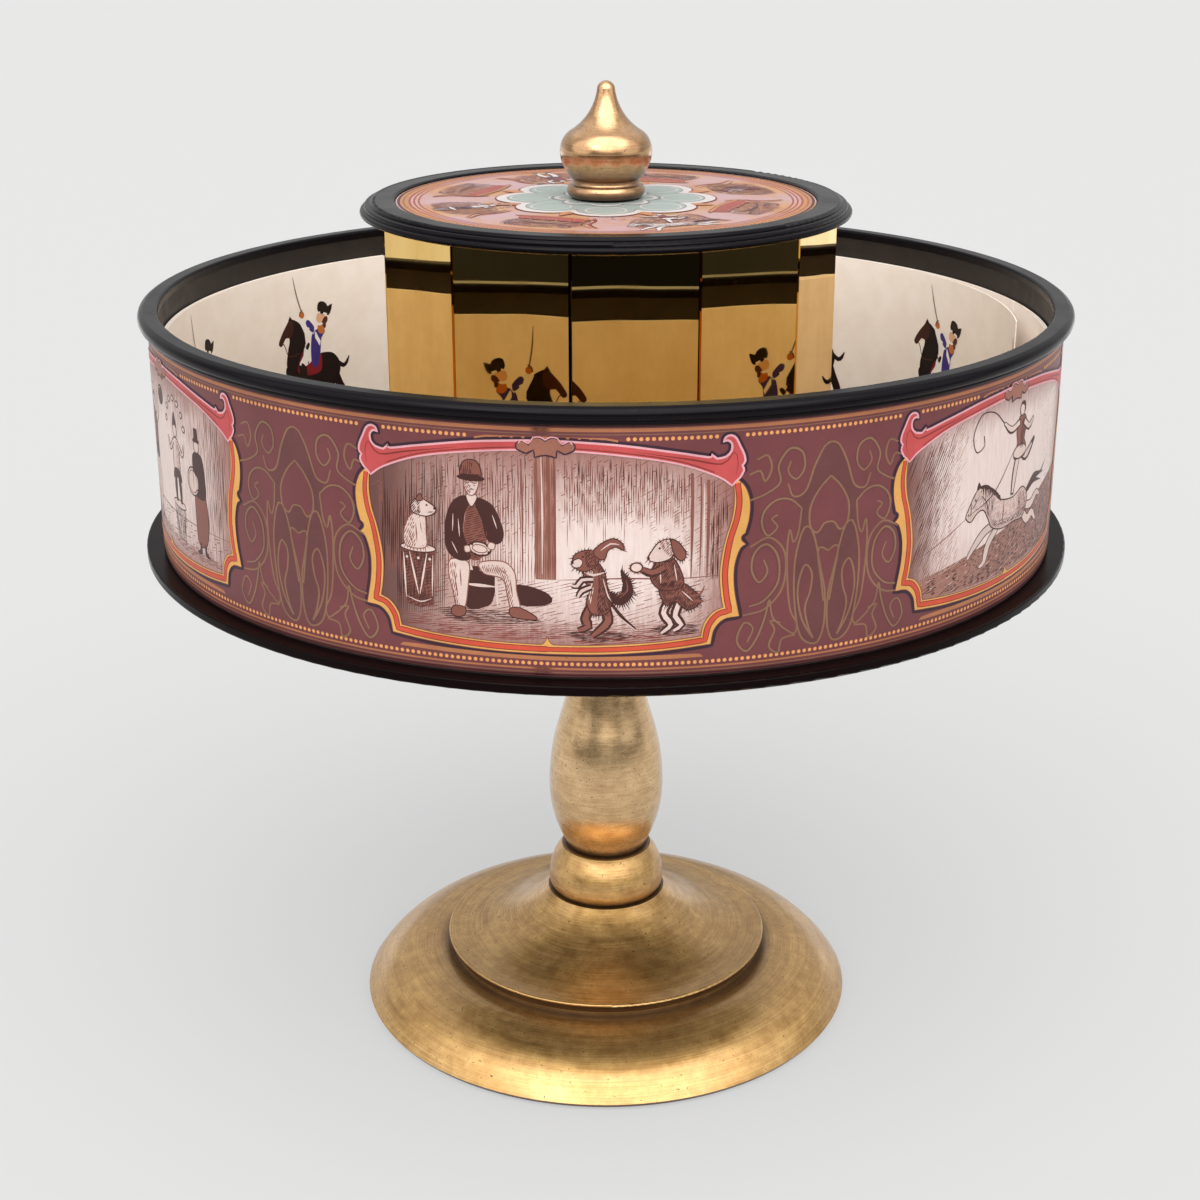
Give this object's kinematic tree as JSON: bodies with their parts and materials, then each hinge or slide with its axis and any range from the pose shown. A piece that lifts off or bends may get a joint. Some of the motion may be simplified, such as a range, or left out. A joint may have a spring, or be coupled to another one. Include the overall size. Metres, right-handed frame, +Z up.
{
  "type": "praxinoscope",
  "caption": "Tabletop praxinoscope: an open printed drum of picture strips turns round a gold mirror prism on a turned brass pedestal.",
  "frame": {"origin": "on the spin axis, at the underside of the felt pad, where the object meets the table", "axes": "+Z up along the spin axis; -Y is the side that faces the viewer, with the front picture panel; +X to the viewer's right"},
  "size_m": [0.3072, 0.3072, 0.3247],
  "materials": {
    "green_felt": "dense wool felt",
    "hardboard": "smooth brown hardboard",
    "antique_brass": "satin, brushed round the axis, antiqued dark in the grooves",
    "polished_brass": "polished, lightly antiqued",
    "cast_iron": "as cast, painted black",
    "steel": "bright zinc-plated",
    "bearing_steel": "ground and hardened",
    "bush_bronze": "oil-filled bronze",
    "blackened_steel": "blackened",
    "dark_lacquer": "very dark brown gloss lacquer",
    "black_lacquer": "black satin lacquer",
    "drum_board": "stiff board, painted black inside",
    "plain_wood": "plain turned wood",
    "printed_paper": "colour-printed paper, satin",
    "strip_card": "cream card, printed in colour on the inner face",
    "tinted_mirror": "gold-tinted mirror"
  },
  "bodies": {
    "stand": {"felt_pad": "green_felt", "bottom_cover": "hardboard", "base_dish": "antique_brass", "base_crown": "antique_brass", "ballast_weight": "cast_iron", "tie_rod_nut": "steel", "tie_rod_washer": "steel", "tie_rod": "steel", "collar_ring": "antique_brass", "stem": "antique_brass", "bearing_seat": "antique_brass", "lower_race": "bearing_steel", "ball_cage": "bush_bronze", "bearing_balls": "bearing_steel", "spindle": "bearing_steel", "retaining_washer": "steel", "retaining_nut": "steel"},
    "drum": {"upper_race": "bearing_steel", "hub": "antique_brass", "hub_screws": "steel", "hub_nuts": "steel", "lower_bush": "bush_bronze", "upper_bush": "bush_bronze", "platter": "dark_lacquer", "drum_wall": "drum_board", "drum_label": "printed_paper", "rim_ring": "black_lacquer", "mirror_core": "plain_wood", "mirror_01": "tinted_mirror", "mirror_02": "tinted_mirror", "mirror_03": "tinted_mirror", "mirror_04": "tinted_mirror", "mirror_05": "tinted_mirror", "mirror_06": "tinted_mirror", "mirror_07": "tinted_mirror", "mirror_08": "tinted_mirror", "mirror_09": "tinted_mirror", "mirror_10": "tinted_mirror", "mirror_11": "tinted_mirror", "mirror_12": "tinted_mirror", "core_cap": "plain_wood", "lid_stud_nut": "steel", "lid_stud": "steel"},
    "picture_strip": {"picture_strip": "strip_card"},
    "spare_strip": {"spare_strip": "strip_card"},
    "back_strip": {"back_strip": "strip_card"},
    "lid": {"lid_disc": "black_lacquer", "lid_label": "printed_paper"},
    "finial_washer": {"finial_washer": "blackened_steel"},
    "finial": {"finial": "polished_brass"}
  },
  "joints": [
    {"name": "drum_spin", "type": "hinge", "parent": "stand", "child": "drum", "pos_m": [0, 0, 0.17], "axis": [0, 0, 1], "continuous": true},
    {"name": "picture_strip_lift", "type": "slide", "parent": "drum", "child": "picture_strip", "axis": [0, 0, 1], "range_m": [0, 0.085]},
    {"name": "spare_strip_lift", "type": "slide", "parent": "drum", "child": "spare_strip", "axis": [0, 0, 1], "range_m": [0, 0.085]},
    {"name": "back_strip_lift", "type": "slide", "parent": "drum", "child": "back_strip", "axis": [0, 0, 1], "range_m": [0, 0.085]},
    {"name": "lid_lift", "type": "slide", "parent": "drum", "child": "lid", "axis": [0, 0, 1], "range_m": [0, 0.045]},
    {"name": "finial_turn", "type": "hinge", "parent": "lid", "child": "finial_washer", "pos_m": [0, 0, 0.288], "axis": [0, 0, 1], "range_deg": [0, 2880]},
    {"name": "finial_rise", "type": "slide", "parent": "finial_washer", "child": "finial", "axis": [0, 0, 1], "range_m": [0, 0.008]}
  ],
  "couplings": [
    {"joint": "finial_rise", "follows": "finial_turn", "m_per_rad": 0.00015915}
  ]
}
